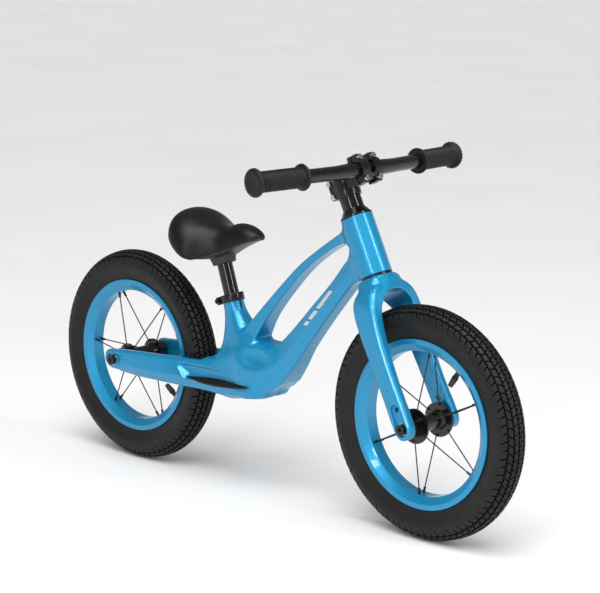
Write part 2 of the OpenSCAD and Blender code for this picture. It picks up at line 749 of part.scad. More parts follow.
// Children stand in the rim bed with Z along the spoke, pointing outwards
module rim_places(flange_d) {
    spoke_turns() translate([0, nipple_y, bed_r]) rotate([spoke_lean(flange_d), 0, 0]) children();
}
module spokes(flange_d) {
    color("black") both_sides() {
        rim_places(flange_d) translate([0, 0, -spoke_len(flange_d)])
            cylinder(d = spoke_d, h = spoke_len(flange_d) - 1, $fn = small_fn);
        flange_places(flange_d) {
            across(elbow_d, spoke_y - elbow_d / 2, flange_y + flange_half + 1, small_fn);
            across(3.6, flange_y + flange_half + slip, flange_y + flange_half + 1.3, small_fn);
        }
    }
}
module nipples(flange_d) {
    color("black") both_sides() rim_places(flange_d) difference() {
        union() {
            translate([0, 0, -9]) cylinder(d = nipple_d, h = 14, $fn = small_fn);
            translate([0, 0, rim_wall + 0.8]) cylinder(d = nipple_d + 2, h = 2, $fn = small_fn);
        }
        translate([0, 0, -10]) cylinder(d = spoke_d + 2 * slip, h = 10, $fn = small_fn);
    }
}
module hub(flange_d, seat_d, half_old) {
    shell_d = bearing_od - 3;
    out_y = half_old - 5;
    color("black") difference() {
        union() {
            across(shell_d, -flange_y, flange_y);
            both_sides() {
                across(flange_d, flange_y - flange_half, flange_y + flange_half);
                across(seat_d, flange_y, out_y - 3);
                across(bearing_od + 3, out_y - 4, out_y);
                translate([0, flange_y - 9, 0]) rotate([-90, 0, 0])
                    cylinder(d1 = shell_d, d2 = seat_d - 4, h = 8, $fn = round_fn);
            }
        }
        across(axle_d + 4, -100, 100);
        both_sides() across(bearing_od + 2 * slip, out_y - bearing_w, 100);
        both_sides() flange_places(flange_d) {
            across(elbow_d + 0.3, flange_y - 10, flange_y + flange_half + slip, small_fn);
            // The bearing seat stays clear of the spoke heads
            across(4.2, flange_y + flange_half, flange_y + flange_half + 1.8, small_fn);
        }
    }
}
module bearings(half_old) {
    out_y = half_old - 5;
    color("silver") both_sides()
        ring_across(bearing_od, axle_d + 2 * running, out_y - bearing_w + 0.01, out_y);
}
module axle(half_old) {
    color("silver") difference() {
        across(axle_d, -half_old, half_old);
        both_sides() across(axle_bolt_d + 2 * slip, half_old - 22, half_old + 1);
    }
}
module axle_sleeves(half_old) {
    color("black") both_sides()
        ring_across(axle_d + 8, axle_d + 2 * slip, half_old - 5 + air, half_old + sleeve_seat);
}
module axle_washers(half_old, thick) {
    color("silver") both_sides()
        ring_across(axle_head_d + 2, axle_bolt_d + 0.5, half_old + thick - recess_depth,
            half_old + thick - recess_depth + washer_t, small_fn);
}
module axle_bolts(half_old, thick) {
    face = half_old + thick - recess_depth + washer_t;
    color("black") both_sides() translate([0, face, 0]) rotate([-90, 0, 0])
        socket_screw(axle_bolt_d, face - half_old + 18, axle_head_d, axle_head_h, 6);
}

// ---- Seat ----
module seat_clamp() {
    outer = seat_tube_od + 7;
    color("black") difference() {
        union() {
            on_seat(-clamp_h + 1) cylinder(d = outer, h = clamp_h, $fn = round_fn);
            on_seat(-clamp_h + 1) translate([-outer / 2 - 11, -8.5, 0]) cube([14, 17, clamp_h]);
        }
        on_seat(-clamp_h) cylinder(d = seat_tube_od + 2 * slip, h = clamp_h - clamp_lip + 0.1, $fn = round_fn);
        on_seat(-clamp_h) cylinder(d = post_d + 2 * slip, h = clamp_h + 3, $fn = round_fn);
        on_seat(-clamp_h) translate([-outer, -1.2, 0]) cube([outer, 2.4, clamp_h + 3]);
        on_seat(1 - clamp_h / 2) clamp_bolt_place() translate([0, 0, -30])
            cylinder(d = bolt_d + 2 * slip, h = 60, $fn = small_fn);
    }
}
module clamp_bolt_place() {
    translate([-seat_tube_od / 2 - 3.5 - 6, -8.5, 0]) rotate([90, 0, 0]) children();
}
module seat_clamp_bolt() {
    color("black") on_seat(1 - clamp_h / 2) clamp_bolt_place() socket_screw(bolt_d, 17, screw_head_d, 5, 4);
}
post_wall = 2;
module seat_post() {
    color("black") on_seat(post_show + 1 + post_grip - post_len) difference() {
        cylinder(d = post_d, h = post_len, $fn = round_fn);
        translate([0, 0, -1]) cylinder(d = post_d - 2 * post_wall, h = post_len + 2, $fn = round_fn);
    }
}
post_grip = 26;
socket_foot = post_show + 1;
// The saddle is drawn about the foot of its socket. Each row gives a share of
// its length from the back, of its half width, and of its height for the top,
// for the widest level and for the underside.
saddle_rows = [
    [0.0, 0.42, 0.87, 0.70, 0.58], [0.03, 0.66, 0.96, 0.63, 0.45], [0.1, 0.88, 1.02, 0.5, 0.3],
    [0.22, 1.0, 0.98, 0.33, 0.14], [0.34, 0.97, 0.87, 0.18, 0.07], [0.46, 0.70, 0.78, 0.16, 0.07],
    [0.58, 0.47, 0.76, 0.26, 0.16], [0.72, 0.39, 0.84, 0.40, 0.32], [0.84, 0.35, 0.83, 0.50, 0.44],
    [0.94, 0.25, 0.74, 0.57, 0.53], [1.0, 0.12, 0.66, 0.59, 0.56]
];
saddle_back = -89;
base_lean = 21.5;
module at_saddle() {
    foot = seat_at(socket_foot, 0);
    translate([foot[0], 0, foot[1]]) children();
}
module saddle_form(inset) {
    at_saddle() swept([
        for (r = saddle_rows)
            station([saddle_back + r[0] * saddle_len, saddle_h * r[3]], 0, r[1] * saddle_w / 2 - inset,
                saddle_h * (r[2] - r[3]) - inset, saddle_h * (r[3] - r[4]) - inset / 2)
    ], 2, 2.1, true);
}
// Everything below the flat face on which the pad rests
module under_pad() {
    at_saddle() translate([-28, 0, 7]) rotate([0, -base_lean, 0])
        translate([-200, -150, -200]) cube([500, 300, 200]);
}
socket_d = post_d + 22;
socket_h = 34;
module saddle_pad() {
    color("black") difference() {
        saddle_form(0);
        under_pad();
        // Hollow round the socket of the base
        on_seat(socket_foot - 20) cylinder(d = socket_d + 2 * slip, h = 20 + socket_h + slip, $fn = round_fn);
    }
}
module saddle_base() {
    color("black") difference() {
        union() {
            intersection() {
                saddle_form(3);
                under_pad();
            }
            on_seat(socket_foot) {
                cylinder(d1 = post_d + 5, d2 = socket_d, h = 24, $fn = round_fn);
                translate([0, 0, 24]) cylinder(d = socket_d, h = socket_h - 24, $fn = round_fn);
            }
        }
        on_seat(socket_foot - 1) cylinder(d = post_d + 2 * slip, h = post_grip + 1 + slip, $fn = round_fn);
        saddle_bolt_place() translate([0, 0, -5]) cylinder(d = bolt_d + 2 * slip, h = 20, $fn = small_fn);
        saddle_bolt_place() cylinder(d = 9, h = 20, $fn = small_fn);
    }
}
module saddle_bolt() {
    color("silver") saddle_bolt_place() socket_screw(bolt_d, 4, 8.5, 3, 4);
}
// The screw that holds the post enters the back of the socket
module saddle_bolt_place() {
    on_seat(socket_foot + 11) translate([-post_d / 2 - 6, 0, 0]) rotate([0, -90, 0]) children();
}

module front_wheel_place() { at_front_axle() rotate([0, -front_valve_at, 0]) children(); }
module rear_wheel_place() { at_rear_axle() rotate([0, -rear_valve_at, 0]) children(); }

module front_tyre() { front_wheel_place() tyre(); }
module front_inner_tube() { front_wheel_place() inner_tube(); }
module front_valve_cap() { front_wheel_place() valve_cap(); }
module front_rim() { front_wheel_place() rim(front_flange_d); }
module front_hub() { front_wheel_place() hub(front_flange_d, bearing_od + 8, front_half_old); }
module front_bearings() { front_wheel_place() bearings(front_half_old); }
module front_spokes() { front_wheel_place() spokes(front_flange_d); }
module front_nipples() { front_wheel_place() nipples(front_flange_d); }
module front_axle() { at_front_axle() axle(front_half_old); }
module front_axle_sleeves() { at_front_axle() axle_sleeves(front_half_old); }
module front_axle_washers() { at_front_axle() axle_washers(front_half_old, leg_tip_t); }
module front_axle_bolts() { at_front_axle() axle_bolts(front_half_old, leg_tip_t); }
module rear_tyre() { rear_wheel_place() tyre(); }
module rear_inner_tube() { rear_wheel_place() inner_tube(); }
module rear_valve_cap() { rear_wheel_place() valve_cap(); }
module rear_rim() { rear_wheel_place() rim(rear_flange_d); }
module rear_hub() { rear_wheel_place() hub(rear_flange_d, bearing_od + 5, rear_half_old); }
module rear_bearings() { rear_wheel_place() bearings(rear_half_old); }
module rear_spokes() { rear_wheel_place() spokes(rear_flange_d); }
module rear_nipples() { rear_wheel_place() nipples(rear_flange_d); }
module rear_axle() { at_rear_axle() axle(rear_half_old); }
module rear_axle_sleeves() { at_rear_axle() axle_sleeves(rear_half_old); }
module rear_axle_washers() { at_rear_axle() axle_washers(rear_half_old, dropout_t); }
module rear_axle_bolts() { at_rear_axle() axle_bolts(rear_half_old, dropout_t); }

frame();
upper_head_bearing();
lower_head_bearing();
left_foot_pad();
right_foot_pad();
seat_clamp();
seat_clamp_bolt();
rear_axle();
rear_axle_sleeves();
rear_axle_washers();
rear_axle_bolts();
fork();
steerer_tube();
crown_race();
compression_ring();
head_cover();
headset_spacer();
stem();
stem_faceplate();
faceplate_bolts();
pinch_bolts();
top_cap();
top_cap_bolt();
star_nut();
handlebar();
left_grip();
right_grip();
front_axle();
front_axle_sleeves();
front_axle_washers();
front_axle_bolts();
front_tyre();
front_inner_tube();
front_valve_cap();
front_rim();
front_hub();
front_bearings();
front_spokes();
front_nipples();
rear_tyre();
rear_inner_tube();
rear_valve_cap();
rear_rim();
rear_hub();
rear_bearings();
rear_spokes();
rear_nipples();
seat_post();
saddle_base();
saddle_pad();
saddle_bolt();
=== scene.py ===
"""Looks of the balance bike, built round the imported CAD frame.

The cast frame and fork, the tyres, the grips and the padded saddle are modelled here in full.
Everything else keeps its CAD shape and gets a material. Lengths are in millimetres and are turned
into metres when a mesh is made; the lights and the camera are placed in metres. X points forward,
Y to the rider's left and Z up, and the origin lies on the ground midway between the axles.
"""

import json
import math

import bpy
import numpy as np
from mathutils import Matrix, Vector


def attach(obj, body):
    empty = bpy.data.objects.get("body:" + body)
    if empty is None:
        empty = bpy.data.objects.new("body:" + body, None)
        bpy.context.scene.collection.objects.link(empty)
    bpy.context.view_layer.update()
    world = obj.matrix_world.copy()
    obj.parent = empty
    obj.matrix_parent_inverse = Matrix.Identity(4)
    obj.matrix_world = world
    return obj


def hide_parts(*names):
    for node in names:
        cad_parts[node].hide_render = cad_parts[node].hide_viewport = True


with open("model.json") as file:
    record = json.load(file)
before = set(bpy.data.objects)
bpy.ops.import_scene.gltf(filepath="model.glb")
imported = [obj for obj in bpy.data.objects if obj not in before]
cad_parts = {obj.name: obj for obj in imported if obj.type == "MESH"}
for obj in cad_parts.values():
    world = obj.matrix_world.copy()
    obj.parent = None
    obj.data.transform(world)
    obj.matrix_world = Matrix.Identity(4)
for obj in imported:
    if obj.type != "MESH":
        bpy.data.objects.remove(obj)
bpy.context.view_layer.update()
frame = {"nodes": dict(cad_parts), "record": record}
nodes = frame["nodes"]

MM = 0.001
WHEEL_R = 182.0
FRONT_X, REAR_X = 325.0, -325.0
STEER_TILT = math.radians(26.5)
SEAT_TILT = math.radians(18.8)
SEAT_TOP = (-99.0, 319.0)
BAR_SWEEP = math.radians(5.0)


def steer_at(up, ahead):
    """Point in the XZ plane, measured along and ahead of the steering axis from the front axle."""
    s, c = math.sin(STEER_TILT), math.cos(STEER_TILT)
    return FRONT_X - up * s + ahead * c, WHEEL_R + up * c + ahead * s


def seat_at(up, ahead):
    """Point in the XZ plane, measured along and ahead of the seat tube from its top."""
    s, c = math.sin(SEAT_TILT), math.cos(SEAT_TILT)
    return SEAT_TOP[0] - up * s + ahead * c, SEAT_TOP[1] + up * c + ahead * s


# ---- Materials ----


def shader(name):
    """A new material with its node tree, its Principled shader and object coordinates in metres."""
    mat = bpy.data.materials.new(name)
    mat.use_nodes = True
    tree = mat.node_tree
    coords = tree.nodes.new("ShaderNodeTexCoord").outputs["Object"]
    return mat, tree, tree.nodes["Principled BSDF"], coords


def ramp(tree, source, low, high, start=0.3, end=0.7):
    """Colour ramp between two colours or grey values."""
    node = tree.nodes.new("ShaderNodeValToRGB")
    ends = [c if isinstance(c, tuple) else (c, c, c) for c in (low, high)]
    node.color_ramp.elements[0].position = start
    node.color_ramp.elements[1].position = end
    node.color_ramp.elements[0].color = (*ends[0], 1)
    node.color_ramp.elements[1].color = (*ends[1], 1)
    tree.links.new(source, node.inputs["Fac"])
    return node.outputs["Color"]


def noise(tree, coords, scale, detail=3.0):
    """Soft grey noise over the surface."""
    node = tree.nodes.new("ShaderNodeTexNoise")
    node.inputs["Scale"].default_value = scale
    node.inputs["Detail"].default_value = detail
    tree.links.new(coords, node.inputs["Vector"])
    return node.outputs["Fac"]


def bump(tree, bsdf, height, strength, distance):
    """Fine relief in a shader's normal."""
    node = tree.nodes.new("ShaderNodeBump")
    node.inputs["Strength"].default_value = strength
    node.inputs["Distance"].default_value = distance
    tree.links.new(height, node.inputs["Height"])
    tree.links.new(node.outputs["Normal"], bsdf.inputs["Normal"])


def surface(name, dark, light, rough, metallic=0.0, grain=60.0, coat=0.0, relief=None, shine=0.5):
    """A material whose colour and roughness vary a little over the surface.

    rough is a range, and relief is the scale, strength and distance of a fine bump.
    """
    mat, tree, bsdf, coords = shader(name)
    colour = ramp(tree, noise(tree, coords, grain), dark, light)
    tree.links.new(colour, bsdf.inputs["Base Color"])
    roughness = ramp(tree, noise(tree, coords, grain * 2.3, 5.0), *rough)
    tree.links.new(roughness, bsdf.inputs["Roughness"])
    bsdf.inputs["Metallic"].default_value = metallic
    bsdf.inputs["Specular IOR Level"].default_value = shine
    bsdf.inputs["Coat Weight"].default_value = coat
    bsdf.inputs["Coat Roughness"].default_value = 0.08
    if relief:
        scale, strength, distance = relief
        bump(tree, bsdf, noise(tree, coords, scale, 4.0), strength, distance)
    return mat


def blue_paint():
    """Glossy blue with fine metal flakes under a clear coat."""
    mat, tree, bsdf, coords = shader("blue_paint")
    flakes = tree.nodes.new("ShaderNodeTexVoronoi")
    flakes.inputs["Scale"].default_value = 1100.0
    tree.links.new(coords, flakes.inputs["Vector"])
    distance = flakes.outputs["Distance"]
    colour = ramp(tree, distance, (0.005, 0.36, 0.65), (0.001, 0.22, 0.43), 0.05, 0.55)
    tree.links.new(colour, bsdf.inputs["Base Color"])
    tree.links.new(ramp(tree, distance, 0.3, 0.42), bsdf.inputs["Roughness"])
    bsdf.inputs["Metallic"].default_value = 0.45
    bsdf.inputs["Coat Weight"].default_value = 0.55
    bsdf.inputs["Coat Roughness"].default_value = 0.06
    return mat


paint = blue_paint()
black_metal = surface("black_metal", 0.002, 0.005, (0.22, 0.32), coat=0.12, shine=0.35)
black_gloss = surface("black_gloss", 0.002, 0.005, (0.12, 0.22), coat=0.25, shine=0.4)
steel = surface("steel", 0.55, 0.68, (0.2, 0.32), metallic=1.0, grain=200.0)
# Rubber for the tread grooves, darker than the tyre's own rubber: painted shade in the tread's
# recesses
painted_groove_shade = surface("painted_groove_shade", 0.0006, 0.0012, (0.8, 0.9), grain=40.0, shine=0.05)
tyre_rubber = surface(
    "tyre_rubber", 0.005, 0.009, (0.44, 0.56), grain=40.0, relief=(900.0, 0.1, 0.0002), shine=0.26
)
soft_rubber = surface(
    "soft_rubber", 0.003, 0.006, (0.36, 0.48), grain=120.0, relief=(1200.0, 0.1, 0.0001), shine=0.3
)
saddle_skin = surface(
    "saddle_skin", 0.003, 0.005, (0.36, 0.46), grain=30.0, relief=(1500.0, 0.1, 0.0001), shine=0.25
)
black_plastic = surface(
    "black_plastic", 0.010, 0.017, (0.38, 0.5), grain=90.0, relief=(1400.0, 0.08, 0.0001)
)
graphic_grey = surface("graphic_grey", 0.50, 0.58, (0.3, 0.4), metallic=0.2, coat=0.6)

SLOT_MATERIAL = {
    "frame_paint": paint,
    "black_metal": black_metal,
    "bare_steel": steel,
    "tyre_rubber": tyre_rubber,
    "soft_rubber": soft_rubber,
    "saddle_cover": saddle_skin,
    "black_plastic": black_plastic,
}
GLOSSY_BLACK = ("headset_spacer", "head_cover", "seat_post", "handlebar", "front_hub", "rear_hub")

for part in frame["record"]["subparts"]:
    node = nodes[part["node"]]
    glossy = part["node"] in GLOSSY_BLACK
    chosen = black_gloss if glossy else SLOT_MATERIAL[part["material_slot"]]
    node.data.materials.clear()
    node.data.materials.append(chosen)


def soften(name, width):
    """Small rounded edges on a machined or forged CAD node."""
    node = nodes[name]
    weld = node.modifiers.new("weld", "WELD")
    weld.merge_threshold = 1e-5
    bevel = node.modifiers.new("bevel", "BEVEL")
    bevel.width = width * MM
    bevel.segments = 3
    bevel.limit_method = "ANGLE"
    bevel.angle_limit = math.radians(40)
    bevel.harden_normals = True


for name, width in (("stem", 0.9), ("stem_faceplate", 0.8), ("seat_clamp", 0.7)):
    soften(name, width)


def make_piece(name, points, faces, material, body, normals=None):
    """A smooth mesh from points in millimetres, riding on a CAD body."""
    mesh = bpy.data.meshes.new(name)
    mesh.from_pydata((np.asarray(points) * MM).tolist(), [], faces)
    mesh.shade_smooth()
    if normals is not None:
        mesh.normals_split_custom_set_from_vertices(normals.tolist())
    mesh.materials.append(material)
    piece = bpy.data.objects.new(name, mesh)
    bpy.context.scene.collection.objects.link(piece)
    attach(piece, body)
    return piece


# ---- Distance fields for the cast parts ----


def smooth_min(a, b, k):
    """The union of two shapes, blended over about k."""
    h = np.clip(0.5 + 0.5 * (b - a) / k, 0, 1)
    return b + (a - b) * h - k * h * (1 - h)


def smooth_max(a, b, k):
    """What two shapes share, with its edge blended over about k."""
    return -smooth_min(-a, -b, k)


def carve(body, cut, k):
    """The body without the cut."""
    return smooth_max(body, -cut, k)


def curve_through(stations, steps):
    """Catmull-Rom curve through rows of numbers."""
    rows = np.array(stations, float)
    last = len(rows) - 1
    out = []
    for k in range(last * steps + 1):
        i = min(k // steps, last - 1)
        f = k / steps - i
        a, b, c, d = rows[max(i - 1, 0)], rows[i], rows[i + 1], rows[min(i + 2, last)]
        square, cube = 2 * a - 5 * b + 4 * c - d, 3 * b - a - 3 * c + d
        out.append(0.5 * (2 * b + (c - a) * f + square * f**2 + cube * f**3))
    return np.array(out)


def follow(x, z, path):
    """Where points lie against a path in the XZ plane.

    Returns the path's further columns at the nearest station, the signed offset to the path's
    right and the distance past its ends.
    """
    best = np.full(x.shape, 1e12)
    place = np.zeros(x.shape)
    offset = np.zeros(x.shape)
    over = np.zeros(x.shape)
    last = len(path) - 2
    for i in range(last + 1):
        ax, az = path[i, :2]
        dx, dz = path[i + 1, :2] - path[i, :2]
        length = math.hypot(dx, dz)
        t = ((x - ax) * dx + (z - az) * dz) / length**2
        tc = np.clip(t, 0, 1)
        gap = (x - ax - tc * dx) ** 2 + (z - az - tc * dz) ** 2
        across = ((x - ax) * dz - (z - az) * dx) / length
        beyond = np.zeros(x.shape)
        if i == 0:
            beyond = np.where(t < 0, -t * length, beyond)
        if i == last:
            beyond = np.where(t > 1, (t - 1) * length, beyond)
        near = gap < best
        best = np.where(near, gap, best)
        place = np.where(near, i + tc, place)
        over = np.where(near, beyond, over)
        signed = np.where(beyond > 0, across, np.sign(across) * np.sqrt(gap))
        offset = np.where(near, signed, offset)
    station = np.arange(len(path))
    columns = [np.interp(place, station, path[:, c]) for c in range(2, path.shape[1])]
    return columns, offset, over


def rounded_bar(side, offset, over, half_w, half_d, r):
    """Distance to a bar of rounded rectangular section."""
    u = np.abs(side) - half_w + r
    v = np.abs(offset) - half_d + r
    outside = np.sqrt(np.maximum(u, 0) ** 2 + np.maximum(v, 0) ** 2 + over**2)
    return outside + np.minimum(np.maximum(u, v), 0) - r


def ellipsoid(*axes):
    """Rough distance to an ellipsoid, from its offset and radius along each axis."""
    reach = np.sqrt(sum((offset / radius) ** 2 for offset, radius in axes))
    return (reach - 1) * min(radius for _, radius in axes)


def about_axis(x, y, z, foot, tilt):
    """Height along a leaning axis through foot, reach ahead of it, and distance from it."""
    s, c = math.sin(tilt), math.cos(tilt)
    px, pz = x - foot[0], z - foot[1]
    up = -px * s + pz * c
    ahead = px * c + pz * s
    return up, ahead, np.hypot(ahead, y)


HEAD_LOW, HEAD_HIGH, HEAD_R = 237.5, 333.5, 25.5
HEAD_BORE_R, BEARING_SEAT_R, BEARING_SEAT_DEPTH = 18, 21, 7.5
SEAT_LUG_R, SEAT_BORE_R, SEAT_BORE_DEPTH = 16.0, 12.9, 118
SLIT_HALF, SLIT_DEPTH, SLIT_REACH = 1.8, 26, 30
TRIM_R = 34  # radius of the cuts that square off a tube's end
AXLE_HOLE_R = 4.3
REAR_ROOM_R, REAR_ROOM_HALF = 190, 33
FRONT_ROOM_R, FRONT_ROOM_HALF = 191, 34
LEG_HOLE_UP, LEG_HOLE_R = 31, 3.5
LEG_END_R, STAY_END_R = 17.5, 14.0
LEG_RECESS_Y, DROPOUT_Y = 55, 63  # floors of the recesses round the axle bolts

TOP_TUBE = curve_through(
    [  # x, z, half width, half depth
        (178, 454, 17, 12),
        (150, 442, 15, 7.5),
        (113, 419, 14, 6.2),
        (73, 389, 14, 6.5),
        (33, 350, 14.5, 7.5),
        (-8, 305, 16, 9.5),
        (-34, 270, 20, 13),
        (-54, 236, 25, 17),
    ],
    3,
)
DOWN_TUBE = curve_through(
    [  # x, z, half depth, half width at the hole, at the crease and at the lower ridge
        (197, 412, 21, 18, 21, 15),
        (168, 386, 16, 16, 20, 14),
        (147, 362, 15.5, 15, 20, 14),
        (106, 316, 17.5, 15, 20, 14),
        (65, 268, 20.5, 16, 22, 15),
        (36, 234, 25, 20, 27, 21),
        (5, 208, 30, 26, 33, 28),
        (-40, 196, 32, 30, 37, 33),
    ],
    3,
)
RISER = curve_through(
    [  # x, z, half width, half depth
        (*seat_at(-13, 0), 16, 16),
        (*seat_at(-30, 0), 17, 18),
        (*seat_at(-54, 1), 22, 26),
        (*seat_at(-80, 3), 29, 41),
        (*seat_at(-104, 6), 35, 62),
        (*seat_at(-126, 12), 36, 76),
    ],
    3,
)
BELLY = curve_through(
    [  # x, z, half width, half depth
        (-22, 200, 29, 32),
        (-50, 198, 33, 33),
        (-80, 196, 38, 32),
        (-122, 190, 42, 26),
    ],
    3,
)
STAY = np.array(
    [  # x, outer y and height of the crease, top, bottom, lean of the upper face in degrees
        (-350, 68.0, 181, 200, 163, 4),
        (-325, 68.0, 181, 200, 163, 4),
        (-270, 66.0, 177, 204, 160, 8),
        (-200, 61.0, 178, 207, 160, 14),
        (-150, 57.5, 180, 209, 160, 22),
        (-100, 52.5, 179, 209, 161, 30),
        (-60, 48.0, 176, 205, 162, 34),
        (-20, 36.0, 172, 196, 164, 34),
        (6, 26.0, 170, 186, 166, 34),
    ],
    float,
)
STAY_INNER = ((-330, 52), (-270, 49.5), (-200, 43), (-140, 36), (-90, 20), (0, 4))  # x, inner y
STAY_UNDERCUT = math.radians(26)
STAY_END_X = REAR_X + 10
# The foot rest's bed on the left stay: a point on it, and its directions
PAD_FOOT = np.array([-88.0, 47.0, 180.5])
PAD_NORMAL = np.array([0.0268, 0.5294, 0.8479])
PAD_ALONG = np.array([0.9968, -0.0783, 0.0175])


def stay_distance(x, y, z):
    """Rear stay, creased along its outer side."""
    columns = [np.interp(x, STAY[:, 0], STAY[:, c]) for c in range(1, 6)]
    crease_y, crease_z, top, bottom, lean = columns
    lean = np.radians(lean)
    inner = np.interp(x, *zip(*STAY_INNER))
    d = (y - crease_y) * np.cos(lean) + (z - crease_z) * np.sin(lean)
    undercut = (y - crease_y) * math.cos(STAY_UNDERCUT) - (z - crease_z) * math.sin(STAY_UNDERCUT)
    d = smooth_max(d, undercut, 1.6)
    d = smooth_max(d, z - top, 5)
    d = smooth_max(d, bottom - z, 5)
    d = smooth_max(d, inner - y, 3)
    # The rear end is rounded in side view, and the front end fades into the belly
    end = np.hypot(np.maximum(-(x + 329), 0), np.maximum(np.abs(z - WHEEL_R) - 5, 0))
    end = np.where(x < STAY_END_X, end - STAY_END_R, -20.0)
    d = smooth_max(d, end, 4)
    return smooth_max(d, x - 8, 10)


def down_tube_distance(x, y, z):
    """Down tube, creased along its flank and narrowed towards the opening and the lower ridge."""
    (dep, w_hole, w_crease, w_ridge), off, over = follow(x, z, DOWN_TUBE)
    upper = (y - w_crease) * dep + np.maximum(off, 0) * (w_crease - w_hole)
    upper = upper / np.hypot(dep, w_crease - w_hole)
    lower = (y - w_crease) * dep + -off * (w_crease - w_ridge)
    lower = lower / np.hypot(dep, w_crease - w_ridge)
    down = smooth_max(smooth_max(upper, lower, 1.5), np.abs(off) - dep, 3.5)
    return np.where(over > 0, np.hypot(np.maximum(down, 0), over), down)


def flank_scoop(x, y, z):
    """The hollow in the flank under the opening, with a ledge as its upper edge."""
    hollow = ellipsoid((x + 2, 46), (y - 46, 17.5), (z - 239, 27))
    ledge = (x + 32) * -0.15 + (z - 260) * 0.99
    return smooth_max(hollow, ledge, 8)


def foot_rest_bed(x, y, z):
    """Room above the flat bed of the foot rest, with walls that lean outwards."""
    dx, dy, dz = x - PAD_FOOT[0], y - PAD_FOOT[1], z - PAD_FOOT[2]
    along = dx * PAD_ALONG[0] + dy * PAD_ALONG[1] + dz * PAD_ALONG[2]
    height = dx * PAD_NORMAL[0] + dy * PAD_NORMAL[1] + dz * PAD_NORMAL[2]
    inward = dy * -PAD_NORMAL[2] + dz * PAD_NORMAL[1]
    ends = np.abs(along - 2) - 68 - 1.6 * np.clip(height, 0, 12)
    sides = inward - (8.5 - (along / 40) ** 2 * 1.4) - 0.4 * np.clip(height, 0, 12)
    return smooth_max(smooth_max(ends, sides, 7), -height, 1.2)


def frame_distance(p):
    """The cast frame; the right side mirrors the left."""
    x, y, z = p[:, 0], np.abs(p[:, 1]), p[:, 2]
    (w, dep), off, over = follow(x, z, TOP_TUBE)
    top = rounded_bar(y, off, over, w, dep, 3.0)
    down = down_tube_distance(x, y, z)
    (w, dep), off, over = follow(x, z, RISER)
    riser = rounded_bar(y, off, over, w, dep, np.minimum(w, dep) * 0.86)
    (w, dep), off, over = follow(x, z, BELLY)
    belly = smooth_max(rounded_bar(y, off, 0.0, w, dep, 15.0), over - 4, 14)
    body = smooth_min(down, belly, 22)
    body = smooth_min(body, riser, 20)
    body = carve(body, flank_scoop(x, y, z), 4.5)
    body = smooth_min(body, top, 9)
    body = smooth_min(body, stay_distance(x, y, z), 13)
    body = carve(body, foot_rest_bed(x, y, z), 1.5)
    # Head tube, its squared ends, its bore and its bearing seats
    up, ahead, radius = about_axis(x, y, z, (FRONT_X, WHEEL_R), STEER_TILT)
    past_ends = np.abs(up - (HEAD_LOW + HEAD_HIGH) / 2) - (HEAD_HIGH - HEAD_LOW) / 2
    body = smooth_min(body, smooth_max(radius - HEAD_R, past_ends, 1.0), 13)
    body = carve(body, smooth_max(-past_ends, radius - TRIM_R, 3), 1.0)
    bearing_seat = smooth_max(radius - BEARING_SEAT_R, -BEARING_SEAT_DEPTH - past_ends, 0.5)
    body = carve(body, np.minimum(radius - HEAD_BORE_R, bearing_seat), 0.5)
    # Top of the seat tube, its squared end, its bore and its slit
    up, ahead, radius = about_axis(x, y, z, SEAT_TOP, SEAT_TILT)
    lug = smooth_max(radius - SEAT_LUG_R, np.abs(up + 20) - 19, 0.6)
    body = smooth_min(body, lug, 2)
    body = carve(body, smooth_max(-1 - up, radius - TRIM_R, 3), 0.6)
    body = carve(body, smooth_max(radius - SEAT_BORE_R, -SEAT_BORE_DEPTH - up, 1), 0.6)
    in_front = np.abs(ahead - SLIT_REACH / 2) - SLIT_REACH / 2
    slit = np.maximum(np.maximum(y - SLIT_HALF, -SLIT_DEPTH - up), in_front)
    body = carve(body, slit, 0.5)
    # Room for the rear tyre
    from_axle = np.hypot(x - REAR_X, z - WHEEL_R)
    body = carve(body, smooth_max(from_axle - REAR_ROOM_R, y - REAR_ROOM_HALF, 5), 4)
    # Dropout recess and axle hole
    recess = np.hypot(np.maximum(np.abs(x - REAR_X - 11) - 11, 0), z - WHEEL_R) - 11
    body = carve(body, smooth_max(recess, DROPOUT_Y - y, 1), 1.2)
    return carve(body, from_axle - AXLE_HOLE_R, 0.5)


FORK_LEG = curve_through(
    [  # x, z, y, half width, half depth
        (*steer_at(-16, 0), 51.5, 7.5, 12),
        (*steer_at(0, 0), 51.5, 8.5, 17.5),
        (*steer_at(60, -2), 50.5, 8.5, 17),
        (*steer_at(120, -3), 49.5, 9.5, 18.5),
        (*steer_at(165, -2), 47.5, 10.5, 21),
        (*steer_at(190, -1), 42, 12.5, 22),
        (*steer_at(208, 0), 31, 14, 22),
        (*steer_at(221, 0), 15, 13, 20),
    ],
    3,
)
CROWN_TOP, CROWN_MID = HEAD_LOW - 3.5, 222


